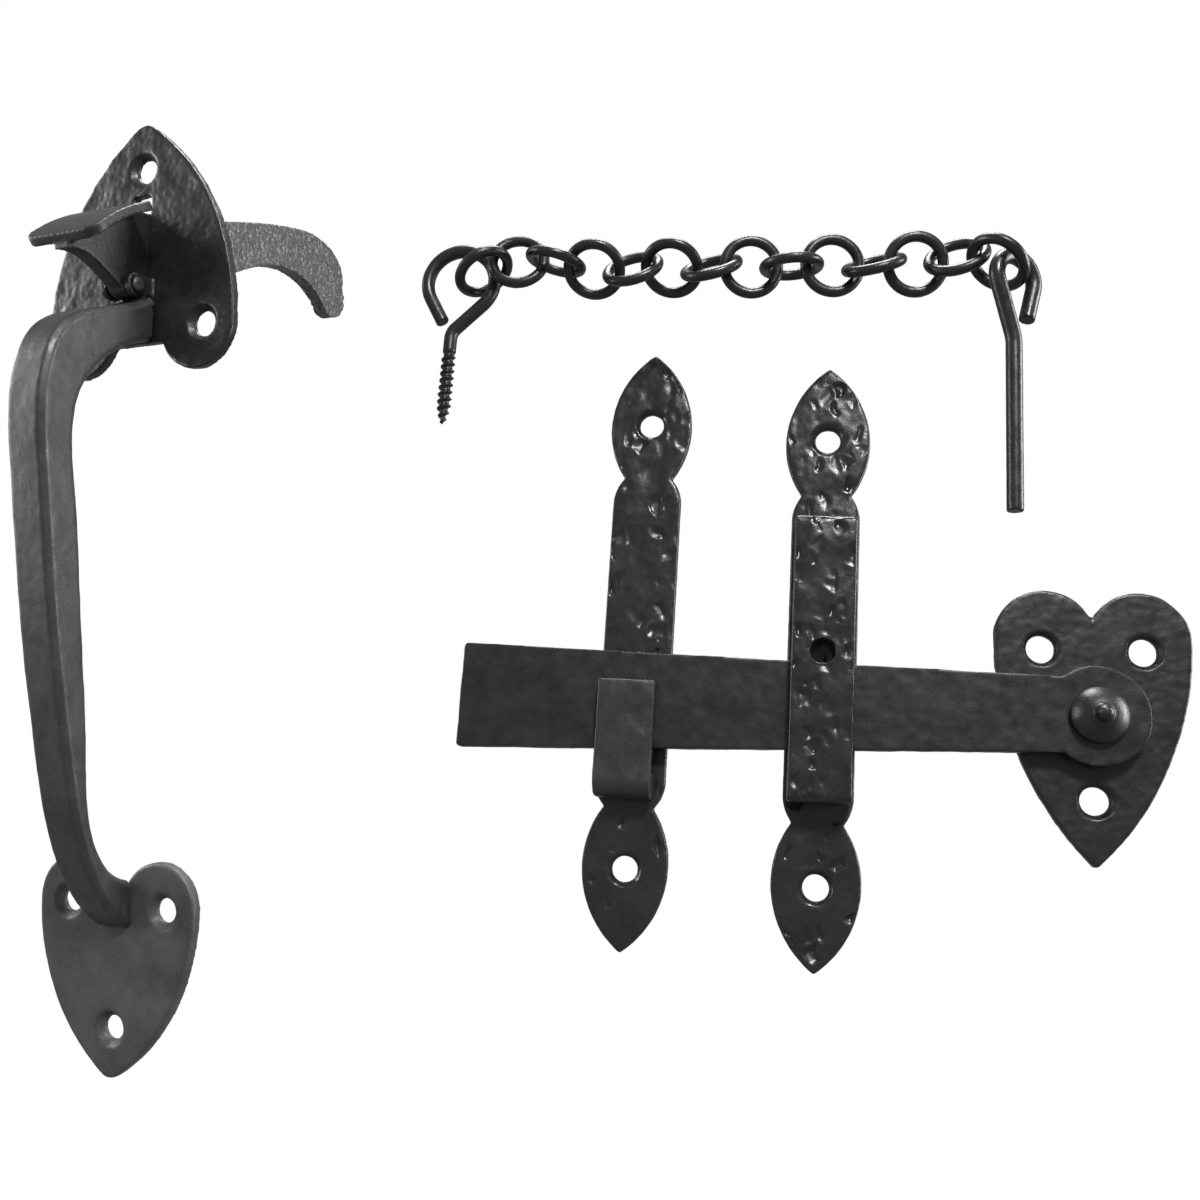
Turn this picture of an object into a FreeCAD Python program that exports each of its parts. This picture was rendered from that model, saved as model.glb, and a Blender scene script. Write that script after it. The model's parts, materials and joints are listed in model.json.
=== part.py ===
import FreeCAD, Part
import math
import os
from FreeCAD import Vector, Rotation, Placement

# Thumb latch kit for a door, gate or fence, laid out as a set: pull handle with thumb lever on the
# left, safety chain at the top, latch bar with its pivot plate, keeper and catch on the right.
# Millimetres, +Z up, +X right, the fronts face -Y. The origin is on the axis that the latch bar
# turns on, in the plane y = 0 that the backs of the latch plates share.

os.makedirs("parts", exist_ok=True)

# ---- latch plates and straps -------------------------------------------------------------------
PLATE_THICK = 3.2          # heart plate
STRAP_THICK = 3.0          # keeper strap and catch strap
EDGE_BREAK = 0.5           # small chamfer round the front edges
SCREW_HOLE_R = 3.1         # screw holes of the latch plates and straps
SCREW_SINK_R = 4.3         # countersink at the front face
SINK_ANGLE = 45.0          # half angle of the countersink cone

# heart plate that carries the bar
HEART_HALF_WIDTH = 22.8
HEART_LOBE_R = 12.0
HEART_LOBE_Z = 18.9
HEART_TIP_Z = -35.6
HEART_NOTCH_Z = 24.1
HEART_HOLE_X = 11.7
HEART_HOLE_Z = 16.2
HEART_LOW_HOLE_Z = -19.5
HEART_TIP_R = 1.5

# pivot stud
STUD_TAIL_R = 3.0          # riveted into the heart plate
STUD_SHAFT_R = 4.0         # the bar turns on this
STUD_FLANGE_R = 6.6
STUD_FLANGE_THICK = 1.0
STUD_DOME_HEIGHT = 3.5     # onion head in front of the flange
STUD_DOME_BULGE_R = 5.15   # radius of the dome half way up
STUD_KNOB_HEIGHT = 2.9
STUD_KNOB_R = 2.1
STUD_KNOB_BULGE_R = 1.9
STUD_TIP_R = 0.7           # small flat on the knob's end

# latch bar
BAR_THICK = 4.0
BAR_GAP = 0.4              # clearance behind and in front of the bar
BAR_LENGTH = 154.5         # from the pivot to the free end
BAR_END_TOP = 11.6
BAR_END_BOTTOM = -15.6
BAR_NECK_HALF = 9.2        # half height where the bar meets its eye
BAR_EYE_R = 12.0
BAR_BORE_CLEAR = 0.1       # radial running clearance on the stud
BAR_CORNER_R = 1.5

# leaf ends of both straps
LEAF_HALF_WIDTH = 10.8
LEAF_TIP = 20.0            # screw hole to the tip
LEAF_NECK = 15.0           # screw hole to the neck
LEAF_WIDEST = 1.0          # the leaf is widest this far inside the hole
NECK_HALF_WIDTH = 6.3

# keeper strap, and the bridge on its front that the bar moves behind
KEEPER_X = -63.6
KEEPER_TOP_HOLE_Z = 69.0
KEEPER_LOW_HOLE_Z = -43.9
KEEPER_HALF_WIDTH = 8.6
BRIDGE_HALF_WIDTH = 7.7
BRIDGE_THICK = 3.0
BRIDGE_TOP_Z = 46.6
BRIDGE_TOP_LEG = 4.6       # height of the upper leg
BRIDGE_LOW_Z = -24.3
BRIDGE_LOW_LEG = 6.9       # height of the lower leg
BRIDGE_CORNER_R = 1.8      # outer corners, seen from the side
BRIDGE_TENON_HALF = 3.5    # each leg has a tenon riveted through the strap
BRIDGE_TENON_HEIGHT = 2.6
KEEPER_PIN_HOLE_R = 3.0
KEEPER_PIN_HOLE_Z = 12.2

# catch strap and its hook
CATCH_X = -109.9
CATCH_TOP_HOLE_Z = 72.9
CATCH_LOW_HOLE_Z = -42.7
CATCH_HALF_WIDTH = 9.0
SHOULDER_RUN = 7.5         # neck to full width
SHOULDER_BULGE = (0.75, 0.42)   # the flare's middle point, as parts of its width and height
HOOK_HALF_WIDTH = 7.2
HOOK_OFFSET_X = -1.1       # the hook sits a little left of the strap's middle
HOOK_THICK = 3.0
HOOK_TOP_Z = 3.3
HOOK_SEAT_Z = -19.2        # the bar rests here
HOOK_ARM_THICK = 6.6
HOOK_BEND_R = 5.0
HOOK_INNER_R = 1.5
HOOK_TENON_HALF = 4.0
HOOK_TENON_HEIGHT = 3.3

# ---- pull handle, in its own frame -------------------------------------------------------------
# In that frame x runs along the plates, y = 0 is the back of both plates, fronts face -y.
HANDLE_PLACE = Vector(-242.8, -31.4, 91.3)
HANDLE_YAW = 13.3          # turned to face a little left
HANDLE_LEAN = 9.4          # top leaning forward
HANDLE_ROLL = -0.8

PULL_PLATE_THICK = 3.0
PULL_HOLE_R = 2.9
PULL_SINK_R = 4.7
PULL_TIP_R = 4.5           # the points of both pull plates are blunt

UPPER_HALF_WIDTH = 31.6
UPPER_LOBE_R = 12.1
UPPER_LOBE_Z = -4.2
UPPER_TIP_Z = 52.0
UPPER_NOTCH_Z = -8.6
UPPER_TOP_HOLE_Z = 38.6
UPPER_SIDE_HOLE_X = 21.3
UPPER_SIDE_HOLE_Z = -4.3

LOWER_HALF_WIDTH = 25.8
LOWER_LOBE_R = 11.8
LOWER_LOBE_Z = -153.6
LOWER_TIP_Z = -198.0
LOWER_NOTCH_Z = -149.5
LOWER_LOW_HOLE_Z = -184.8
LOWER_SIDE_HOLE_X = 15.7
LOWER_SIDE_HOLE_Z = -153.8

GRIP_WIDTH = 12.2
GRIP_CHAMFER = 1.4
GRIP_TENON_HALF = 3.5
GRIP_TENON_HEIGHT = 7.0
# side view of the grip: distance in front of the plate backs, height
GRIP_OUTER = [(20.0, -3.6), (30.5, -9.6), (35.9, -21.0), (35.5, -48.0), (30.8, -84.0),
              (25.7, -112.0), (19.6, -136.0), (12.5, -150.0)]
GRIP_INNER = [(9.6, -143.2), (15.2, -134.0), (18.2, -113.0), (21.0, -84.0), (24.7, -50.0),
              (24.4, -26.0), (15.6, -14.8)]
STUB_TOP_Z = 4.3           # the grip's upper end on the plate, top edge
STUB_LOW_Z = -8.3
FOOT_TOP_Z = -146.8        # the grip's lower end on the plate, top edge
FOOT_LOW_Z = -159.5

# thumb lever
LEVER_PIVOT_Y = 8.0        # in front of the plate backs
LEVER_PIVOT_Z = 5.5
LEVER_THICK = 5.0
LEVER_SIDE_GAP = 0.3       # each side, in the slot and between the lugs
LEVER_HUB_R = 3.0
LEVER_BORE_CLEAR = 0.06
LEVER_PIN_R = 1.4
LEVER_PIN_HEAD_R = 2.2
LEVER_PIN_HEAD = 0.8
LUG_R = 3.3
LUG_THICK = 2.4
SLOT_LOW_Z = 5.0
SLOT_TOP_Z = 31.2
PAD_HALF_WIDTH = 12.0
PAD_THICK = 2.6
PAD_CORNER_R = 4.0
PAD_INNER = (9.8, 26.2)    # top face, edge beside the plate
PAD_CROWN = (20.0, 20.4)
PAD_OUTER = (29.2, 12.2)
PAD_EDGE_MARGIN = 0.4      # the web stops this far inside the pad's inner edge
PAD_RIB_MARGIN = 1.5       # and this far inside its outer edge
RIB_DEPTH = 2.2            # web under the pad's outer edge
RIB_CURVE = [(20.5, 9.0), (15.0, 6.6)]   # lower edge of the web under the pad
HUB_FRONT_ANGLE = -20.0    # where the web's lower edge leaves the hub, seen from the side
HUB_LOW_ANGLE = -100.0
HUB_BACK_ANGLE = 170.0
# curved tail behind the plate: distance in front of the plate backs (negative is behind), height
TAIL_TOP = [(0.0, 27.2), (-26.0, 35.1), (-56.0, 44.2), (-70.5, 45.6), (-81.0, 41.4), (-83.6, 32.5)]
TAIL_TIP = (-79.6, 22.0)
TAIL_LOW = [(-74.8, 22.4), (-68.8, 27.6), (-58.0, 30.4), (-32.0, 21.7), (0.0, 10.5)]

# ---- safety chain --------------------------------------------------------------------------------
CHAIN_Y = -24.0            # the chain lies in front of the latch
CHAIN_Z = 106.7
LINK_COUNT = 14
LINK_PITCH = 10.0
LINK_WIRE = 2.8
LINK_R = 6.7               # mean radius of a ring
FIRST_LINK_X = -154.2      # where the row would start
# rings in a row, by number: the way the ring faces
ROW_LINKS = {
    4: Vector(0.00, 0.66, 0.75),
    5: Vector(-0.18, -0.78, 0.60),
    6: Vector(0.10, 0.60, 0.79),
    7: Vector(-0.20, -0.66, 0.73),
    8: Vector(-0.19, 0.97, 0.15),
    9: Vector(-0.07, -0.17, 0.98),
    10: Vector(-0.20, 0.97, 0.11),
    11: Vector(-0.20, -0.57, 0.80),
    12: Vector(-0.13, 0.95, 0.30),
}
# rings that lie bunched next to the screw eye and the drop pin: centre, and the way the ring faces
LOOSE_LINKS = {
    1: (Vector(-152.6, -26.6, 105.2), Vector(-0.54, 0.17, 0.82)),
    2: (Vector(-143.6, -26.8, 107.7), Vector(0.08, -0.98, 0.20)),
    3: (Vector(-134.1, -25.4, 108.3), Vector(0.22, -0.12, 0.97)),
    13: (Vector(-34.6, -25.0, 107.9), Vector(-0.25, -0.78, 0.57)),
    14: (Vector(-25.6, -27.9, 104.7), Vector(0.53, 0.29, 0.80)),
}

EYE_WIRE = 3.5
EYE_R = 8.95               # mean radius of the screw eye's hook
EYE_X = -159.2
EYE_Z = 103.5
EYE_OPEN_ANGLE = 210.0     # where the hook's free end leaves the circle
EYE_END_RUN = 7.7
EYE_NECK_ANGLE = -45.0     # where the slanting neck leaves the circle
EYE_NECK_BEND_R = 4.0
EYE_SHANK_X = -160.6
SCREW_TIP_Z = 63.9
THREAD_TOP_Z = 84.0
THREAD_PITCH = 1.9
THREAD_CORE_R = 1.25
THREAD_OUTER_R = 1.9
THREAD_TIP_SCALE = 0.75    # the thread's radii near the point, as a part of those at the top
THREAD_CREST = 0.85        # where each turn is widest, as a part of the pitch
THREAD_ROOT = 0.35         # where each turn is narrowest
SCREW_POINT = 4.0

PIN_WIRE = 3.9
PIN_X = -22.1
PIN_Y = -28.3
PIN_LOW_Z = 42.8
PIN_LOOP_R = 5.8
PIN_LOOP_OFFSET = 0.6      # loop centre from the shank, in the loop's plane
PIN_LOOP_Z = 100.3
PIN_LOOP_TURN = 35.0       # the loop's plane, turned about the shank
PIN_LEAVE_ANGLE = 200.0
PIN_END_ANGLE = -15.0
PIN_END_RUN = 8.5
PIN_BEND_R = 10.0

# ---- values that follow ---------------------------------------------------------------------------
BAR_BACK_Y = -(max(PLATE_THICK, STRAP_THICK) + BAR_GAP)
BAR_FRONT_Y = BAR_BACK_Y - BAR_THICK
COVER_Y = BAR_FRONT_Y - 2 * BAR_GAP          # inner face of the keeper bridge and of the hook
STUD_FLANGE_Y = BAR_FRONT_Y - BAR_GAP
TINY = 0.01


def circle_point(centre_a, centre_b, radius, degrees):
    """Point of a circle in a plane, as a pair."""
    angle = math.radians(degrees)
    return (centre_a + radius * math.cos(angle), centre_b + radius * math.sin(angle))


def arc(start, middle, end):
    return Part.Arc(start, middle, end).toShape()


def line(start, end):
    return Part.LineSegment(start, end).toShape()


def arc_x(radius, drop):
    """How far an arc that starts upright has moved sideways after a given height."""
    return radius - math.sqrt(radius * radius - drop * drop)


def prism(edges, depth):
    """Solid with the given closed outline in an x-z plane, extruded forward."""
    face = Part.Face(Part.Wire(edges))
    return face.extrude(Vector(0, -depth, 0))


def mirror_x(point):
    return Vector(-point.x, point.y, point.z)


def heart_prism(half_width, lobe_r, lobe_z, tip_z, notch_z, tip_r, depth):
    """Heart: two round lobes joined to the tip by long arcs. The tip may be above or below."""
    side = 1.0 if tip_z > lobe_z else -1.0
    height = abs(tip_z - lobe_z)
    side_r = (half_width ** 2 + height ** 2) / (2 * half_width)
    lobe_x = half_width - lobe_r
    notch_rise = notch_z - lobe_z
    notch_x = max(lobe_x - math.sqrt(lobe_r ** 2 - notch_rise ** 2), 0.0)
    half = height / 2
    tip = Vector(0, 0, tip_z)
    flank = Vector(half_width - arc_x(side_r, half), 0, lobe_z + side * half)
    widest = Vector(half_width, 0, lobe_z)
    lobe_end = Vector(lobe_x, 0, lobe_z - side * lobe_r)
    notch = Vector(notch_x, 0, notch_z)
    quarter = lobe_r * math.sqrt(0.5)
    lobe_mid = Vector(lobe_x + quarter, 0, lobe_z - side * quarter)
    inner_x, inner_z = (lobe_end.x + notch.x) / 2 - lobe_x, (lobe_end.z + notch.z) / 2 - lobe_z
    reach = lobe_r / math.hypot(inner_x, inner_z)
    inner_mid = Vector(lobe_x + inner_x * reach, 0, lobe_z + inner_z * reach)
    right = [(tip, flank, widest), (widest, lobe_mid, lobe_end), (lobe_end, inner_mid, notch)]
    edges = [arc(*points) for points in right]
    if notch_x > TINY:
        edges.append(line(notch, mirror_x(notch)))
    for start, middle, end in reversed(right):
        edges.append(arc(mirror_x(end), mirror_x(middle), mirror_x(start)))
    heart = prism(edges, depth)
    at_tip = [edge for edge in heart.Edges
              if abs(edge.BoundBox.ZMin - tip_z) < TINY and edge.BoundBox.ZLength < TINY]
    return heart.makeFillet(tip_r, at_tip)


def countersunk_hole(x, z, front_y, hole_r, sink_r):
    """Cutter for a screw hole along y with a cone at the front face."""
    through = Part.makeCylinder(hole_r, 40, Vector(x, 20 + front_y, z), Vector(0, -1, 0))
    depth = (sink_r - hole_r) / math.tan(math.radians(SINK_ANGLE))
    cone = Part.makeCone(sink_r + TINY, hole_r, depth + TINY, Vector(x, front_y - TINY, z), Vector(0, 1, 0))
    return through.fuse(cone)


def broken_edges(solid, front_y, size):
    """Chamfers the curved outline edges of the front face."""
    curved = [edge for edge in solid.Edges
              if edge.Curve.TypeId == "Part::GeomCircle" and edge.BoundBox.YMax < front_y + TINY]
    return solid.makeChamfer(size, curved)


def broken_sides(solid, front_y, size):
    """Chamfers the two upright edges of a straight strap's front face."""
    upright = [edge for edge in solid.Edges
               if edge.BoundBox.YMax < front_y + TINY and edge.BoundBox.XLength < TINY]
    return solid.makeChamfer(size, upright)


# ---- latch ---------------------------------------------------------------------------------------
def make_heart_plate():
    plate = heart_prism(HEART_HALF_WIDTH, HEART_LOBE_R, HEART_LOBE_Z, HEART_TIP_Z, HEART_NOTCH_Z,
                        HEART_TIP_R, PLATE_THICK)
    plate = broken_edges(plate, -PLATE_THICK, EDGE_BREAK)
    holes = [(HEART_HOLE_X, HEART_HOLE_Z), (-HEART_HOLE_X, HEART_HOLE_Z), (0, HEART_LOW_HOLE_Z)]
    for x, z in holes:
        plate = plate.cut(countersunk_hole(x, z, -PLATE_THICK, SCREW_HOLE_R, SCREW_SINK_R))
    stud_hole = Part.makeCylinder(STUD_TAIL_R, PLATE_THICK, Vector(0, 0, 0), Vector(0, -1, 0))
    return plate.cut(stud_hole)


def make_pivot_stud():
    """Turned stud: riveted tail, shaft, flange, onion head with a small knob."""
    flange_front = STUD_FLANGE_Y - STUD_FLANGE_THICK
    dome_top = flange_front - STUD_DOME_HEIGHT
    tip = dome_top - STUD_KNOB_HEIGHT
    corners = [(0, 0), (STUD_TAIL_R, 0), (STUD_TAIL_R, -PLATE_THICK), (STUD_SHAFT_R, -PLATE_THICK),
               (STUD_SHAFT_R, STUD_FLANGE_Y), (STUD_FLANGE_R, STUD_FLANGE_Y),
               (STUD_FLANGE_R, flange_front)]
    points = [Vector(r, y, 0) for r, y in corners]
    edges = [line(a, b) for a, b in zip(points, points[1:])]
    dome_mid = Vector(STUD_DOME_BULGE_R, (flange_front + dome_top) / 2, 0)
    dome_end = Vector(STUD_KNOB_R, dome_top, 0)
    edges.append(arc(points[-1], dome_mid, dome_end))
    knob_mid = Vector(STUD_KNOB_BULGE_R, (dome_top + tip) / 2, 0)
    knob_end = Vector(STUD_TIP_R, tip, 0)
    tip_centre = Vector(0, tip, 0)
    edges.append(arc(dome_end, knob_mid, knob_end))
    edges.append(line(knob_end, tip_centre))
    edges.append(line(tip_centre, points[0]))
    face = Part.Face(Part.Wire(edges))
    return face.revolve(Vector(0, 0, 0), Vector(0, 1, 0), 360)


def make_latch_bar():
    neck_x = -math.sqrt(BAR_EYE_R ** 2 - BAR_NECK_HALF ** 2)
    corners = [(0, BAR_NECK_HALF), (neck_x, BAR_NECK_HALF), (-BAR_LENGTH, BAR_END_TOP),
               (-BAR_LENGTH, BAR_END_BOTTOM), (neck_x, -BAR_NECK_HALF), (0, -BAR_NECK_HALF)]
    points = [Vector(x, BAR_BACK_Y, z) for x, z in corners]
    points.append(points[0])
    blade = prism([line(a, b) for a, b in zip(points, points[1:])], BAR_THICK)
    end_edges = [edge for edge in blade.Edges
                 if edge.BoundBox.XMax < -BAR_LENGTH + TINY and edge.BoundBox.ZLength < TINY]
    blade = blade.makeFillet(BAR_CORNER_R, end_edges)
    eye = Part.makeCylinder(BAR_EYE_R, BAR_THICK, Vector(0, BAR_BACK_Y, 0), Vector(0, -1, 0))
    bar = blade.fuse(eye).removeSplitter()
    bore = Part.makeCylinder(STUD_SHAFT_R + BAR_BORE_CLEAR, 3 * BAR_THICK,
                             Vector(0, BAR_BACK_Y + BAR_THICK, 0), Vector(0, -1, 0))
    return bar.cut(bore)


def leaf_edges(x, hole_z, up):
    """Right-hand outline of a leaf end, from the tip to the neck, as arcs."""
    widest_z = hole_z - up * LEAF_WIDEST
    tip_run = LEAF_TIP + LEAF_WIDEST
    neck_run = LEAF_NECK - LEAF_WIDEST
    tip_r = (LEAF_HALF_WIDTH ** 2 + tip_run ** 2) / (2 * LEAF_HALF_WIDTH)
    waist = LEAF_HALF_WIDTH - NECK_HALF_WIDTH
    neck_r = (waist ** 2 + neck_run ** 2) / (2 * waist)
    tip = Vector(x, 0, hole_z + up * LEAF_TIP)
    upper = Vector(x + LEAF_HALF_WIDTH - arc_x(tip_r, tip_run / 2), 0, widest_z + up * tip_run / 2)
    widest = Vector(x + LEAF_HALF_WIDTH, 0, widest_z)
    lower = Vector(x + LEAF_HALF_WIDTH - arc_x(neck_r, neck_run / 2), 0, widest_z - up * neck_run / 2)
    neck = Vector(x + NECK_HALF_WIDTH, 0, hole_z - up * LEAF_NECK)
    return [(tip, upper, widest), (widest, lower, neck)]


def flipped(point, x):
    return Vector(2 * x - point.x, point.y, point.z)


def leaf(x, hole_z, up, thick):
    """Leaf end from the tip to the neck, with its neck edge straight."""
    right = leaf_edges(x, hole_z, up)
    edges = [arc(*points) for points in right]
    neck = right[-1][2]
    edges.append(line(neck, flipped(neck, x)))
    for start, middle, end in reversed(right):
        edges.append(arc(flipped(end, x), flipped(middle, x), flipped(start, x)))
    return prism(edges, thick)


def shoulder(x, neck_z, up, half_width, thick):
    """Flare from the neck to the full width of the strap."""
    flare = half_width - NECK_HALF_WIDTH
    neck = Vector(x + NECK_HALF_WIDTH, 0, neck_z)
    bulge = Vector(neck.x + flare * SHOULDER_BULGE[0], 0, neck_z - up * SHOULDER_RUN * SHOULDER_BULGE[1])
    full = Vector(x + half_width, 0, neck_z - up * SHOULDER_RUN)
    edges = [arc(neck, bulge, full), line(full, flipped(full, x)),
             arc(flipped(full, x), flipped(bulge, x), flipped(neck, x)), line(flipped(neck, x), neck)]
    return prism(edges, thick)


def box(x0, x1, y0, y1, z0, z1):
    return Part.makeBox(x1 - x0, y1 - y0, z1 - z0, Vector(x0, y0, z0))


def leafed_strap(x, top_hole_z, low_hole_z, half_width):
    """Flat strap with a leaf and a screw hole at each end."""
    top_neck = top_hole_z - LEAF_NECK
    low_neck = low_hole_z + LEAF_NECK
    shaft = box(x - half_width, x + half_width, -STRAP_THICK, 0, low_neck + SHOULDER_RUN,
                top_neck - SHOULDER_RUN)
    ends = [leaf(x, top_hole_z, 1, STRAP_THICK), leaf(x, low_hole_z, -1, STRAP_THICK),
            shoulder(x, top_neck, 1, half_width, STRAP_THICK),
            shoulder(x, low_neck, -1, half_width, STRAP_THICK)]
    strap = broken_sides(shaft, -STRAP_THICK, EDGE_BREAK)
    strap = strap.multiFuse([broken_edges(end, -STRAP_THICK, EDGE_BREAK) for end in ends])
    strap = strap.removeSplitter()
    for z in (top_hole_z, low_hole_z):
        strap = strap.cut(countersunk_hole(x, z, -STRAP_THICK, SCREW_HOLE_R, SCREW_SINK_R))
    return strap


def make_catch_strap():
    strap = leafed_strap(CATCH_X, CATCH_TOP_HOLE_Z, CATCH_LOW_HOLE_Z, CATCH_HALF_WIDTH)
    return strap.cut(hook_tenon())


def hook_tenon():
    middle_x = CATCH_X + HOOK_OFFSET_X
    middle_z = HOOK_SEAT_Z - HOOK_ARM_THICK / 2
    half = HOOK_TENON_HEIGHT / 2
    return box(middle_x - HOOK_TENON_HALF, middle_x + HOOK_TENON_HALF, -STRAP_THICK, 0,
               middle_z - half, middle_z + half)


def make_catch_hook():
    """Arm under the bar, bent up in front of it, with a tenon riveted through the strap."""
    left = CATCH_X + HOOK_OFFSET_X - HOOK_HALF_WIDTH
    low_z = HOOK_SEAT_Z - HOOK_ARM_THICK
    front = COVER_Y - HOOK_THICK
    outer_mid = circle_point(front + HOOK_BEND_R, low_z + HOOK_BEND_R, HOOK_BEND_R, 225)
    inner_y = COVER_Y + HOOK_INNER_R
    inner_z = HOOK_SEAT_Z + HOOK_INNER_R
    inner_mid = circle_point(inner_y, inner_z, HOOK_INNER_R, 225)
    outline = [(-STRAP_THICK, low_z), (front + HOOK_BEND_R, low_z), outer_mid,
               (front, low_z + HOOK_BEND_R), (front, HOOK_TOP_Z), (COVER_Y, HOOK_TOP_Z),
               (COVER_Y, inner_z), inner_mid, (inner_y, HOOK_SEAT_Z), (-STRAP_THICK, HOOK_SEAT_Z)]
    path = [Vector(left, y, z) for y, z in outline]
    edges = [line(path[0], path[1]), arc(path[1], path[2], path[3]), line(path[3], path[4]),
             line(path[4], path[5]), line(path[5], path[6]), arc(path[6], path[7], path[8]),
             line(path[8], path[9]), line(path[9], path[0])]
    hook = Part.Face(Part.Wire(edges)).extrude(Vector(2 * HOOK_HALF_WIDTH, 0, 0))
    return hook.fuse(hook_tenon()).removeSplitter()


def bridge_tenons():
    """Riveted ends of the bridge, through the keeper strap."""
    half = BRIDGE_TENON_HEIGHT / 2
    middles = (BRIDGE_TOP_Z - BRIDGE_TOP_LEG / 2, BRIDGE_LOW_Z + BRIDGE_LOW_LEG / 2)
    return [box(KEEPER_X - BRIDGE_TENON_HALF, KEEPER_X + BRIDGE_TENON_HALF, -STRAP_THICK, 0,
                z - half, z + half) for z in middles]


def make_keeper_strap():
    strap = leafed_strap(KEEPER_X, KEEPER_TOP_HOLE_Z, KEEPER_LOW_HOLE_Z, KEEPER_HALF_WIDTH)
    for tenon_end in bridge_tenons():
        strap = strap.cut(tenon_end)
    return strap


def make_keeper_bridge():
    """Bar held off the strap by a leg at each end, with the drop pin's hole through its front."""
    left = KEEPER_X - BRIDGE_HALF_WIDTH
    right = KEEPER_X + BRIDGE_HALF_WIDTH
    front = COVER_Y - BRIDGE_THICK
    corner_y = front + BRIDGE_CORNER_R
    top_z = BRIDGE_TOP_Z - BRIDGE_CORNER_R
    low_z = BRIDGE_LOW_Z + BRIDGE_CORNER_R
    top_mid = circle_point(corner_y, top_z, BRIDGE_CORNER_R, 135)
    low_mid = circle_point(corner_y, low_z, BRIDGE_CORNER_R, 225)
    outline = [(-STRAP_THICK, BRIDGE_TOP_Z), (corner_y, BRIDGE_TOP_Z), top_mid, (front, top_z),
               (front, low_z), low_mid, (corner_y, BRIDGE_LOW_Z), (-STRAP_THICK, BRIDGE_LOW_Z)]
    path = [Vector(left, y, z) for y, z in outline]
    edges = [line(path[0], path[1]), arc(path[1], path[2], path[3]), line(path[3], path[4]),
             arc(path[4], path[5], path[6]), line(path[6], path[7]), line(path[7], path[0])]
    bridge = Part.Face(Part.Wire(edges)).extrude(Vector(right - left, 0, 0))
    bridge = broken_sides(bridge, front, EDGE_BREAK)
    slot = box(left - BRIDGE_THICK, right + BRIDGE_THICK, COVER_Y, 0, BRIDGE_LOW_Z + BRIDGE_LOW_LEG,
               BRIDGE_TOP_Z - BRIDGE_TOP_LEG)
    pin_hole = Part.makeCylinder(KEEPER_PIN_HOLE_R, 3 * BRIDGE_THICK,
                                 Vector(KEEPER_X, COVER_Y + BRIDGE_THICK, KEEPER_PIN_HOLE_Z),
                                 Vector(0, -1, 0))
    return bridge.cut(slot).cut(pin_hole).multiFuse(bridge_tenons()).removeSplitter()


# ---- pull handle ----------------------------------------------------------------------------------
def handle_placement():
    yaw = Rotation(Vector(0, 0, 1), -HANDLE_YAW)
    lean = Rotation(Vector(1, 0, 0), HANDLE_LEAN)
    roll = Rotation(Vector(0, 1, 0), -HANDLE_ROLL)
    return Placement(HANDLE_PLACE, yaw.multiply(lean).multiply(roll))


def side_point(pair, x=0.0):
    """A point of the handle's side view: distance in front of the plate backs, height."""
    return Vector(x, -pair[0], pair[1])


def smooth(points):
    curve = Part.BSplineCurve()
    curve.interpolate(points)
    return curve.toShape()


def tenon(middle_z):
    half = GRIP_TENON_HEIGHT / 2
    return box(-GRIP_TENON_HALF, GRIP_TENON_HALF, -PULL_PLATE_THICK, 0, middle_z - half, middle_z + half)


def upper_tenon():
    return tenon((STUB_TOP_Z + STUB_LOW_Z) / 2)


def lower_tenon():
    return tenon((FOOT_TOP_Z + FOOT_LOW_Z) / 2)


def inset(points, distance):
    """Side-view points moved to the right of their direction of travel, the two ends along the plate."""
    shifted = []
    last = len(points) - 1
    for index, point in enumerate(points):
        before = points[max(index - 1, 0)]
        after = points[min(index + 1, last)]
        run, rise = after[0] - before[0], after[1] - before[1]
        length = math.hypot(run, rise)
        if index in (0, last):
            shifted.append((point[0], point[1] - math.copysign(distance, run)))
        else:
            shifted.append((point[0] + rise / length * distance, point[1] - run / length * distance))
    return shifted


def grip_outline(x, distance):
    """Side outline of the grip at one station across its width."""
    plate = PULL_PLATE_THICK
    front = inset([(plate, STUB_TOP_Z)] + GRIP_OUTER + [(plate, FOOT_LOW_Z)], distance)
    back = inset([(plate, FOOT_TOP_Z)] + GRIP_INNER + [(plate, STUB_LOW_Z)], distance)
    outer = [side_point(p, x) for p in front]
    inner = [side_point(p, x) for p in back]
    return Part.Wire([smooth(outer), line(outer[-1], inner[0]), smooth(inner), line(inner[-1], outer[0])])


def make_pull_grip():
    """Bowed bar with chamfered edges, built across its width from four side outlines."""
    half = GRIP_WIDTH / 2
    stations = [(-half, GRIP_CHAMFER), (GRIP_CHAMFER - half, 0), (half - GRIP_CHAMFER, 0),
                (half, GRIP_CHAMFER)]
    grip = Part.makeLoft([grip_outline(x, distance) for x, distance in stations], True, True)
    return grip.multiFuse([upper_tenon(), lower_tenon()])


def pull_plate(outline, holes):
    plate = heart_prism(*outline, PULL_TIP_R, PULL_PLATE_THICK)
    plate = broken_edges(plate, -PULL_PLATE_THICK, EDGE_BREAK)
    for x, z in holes:
        plate = plate.cut(countersunk_hole(x, z, -PULL_PLATE_THICK, PULL_HOLE_R, PULL_SINK_R))
    return plate


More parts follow.
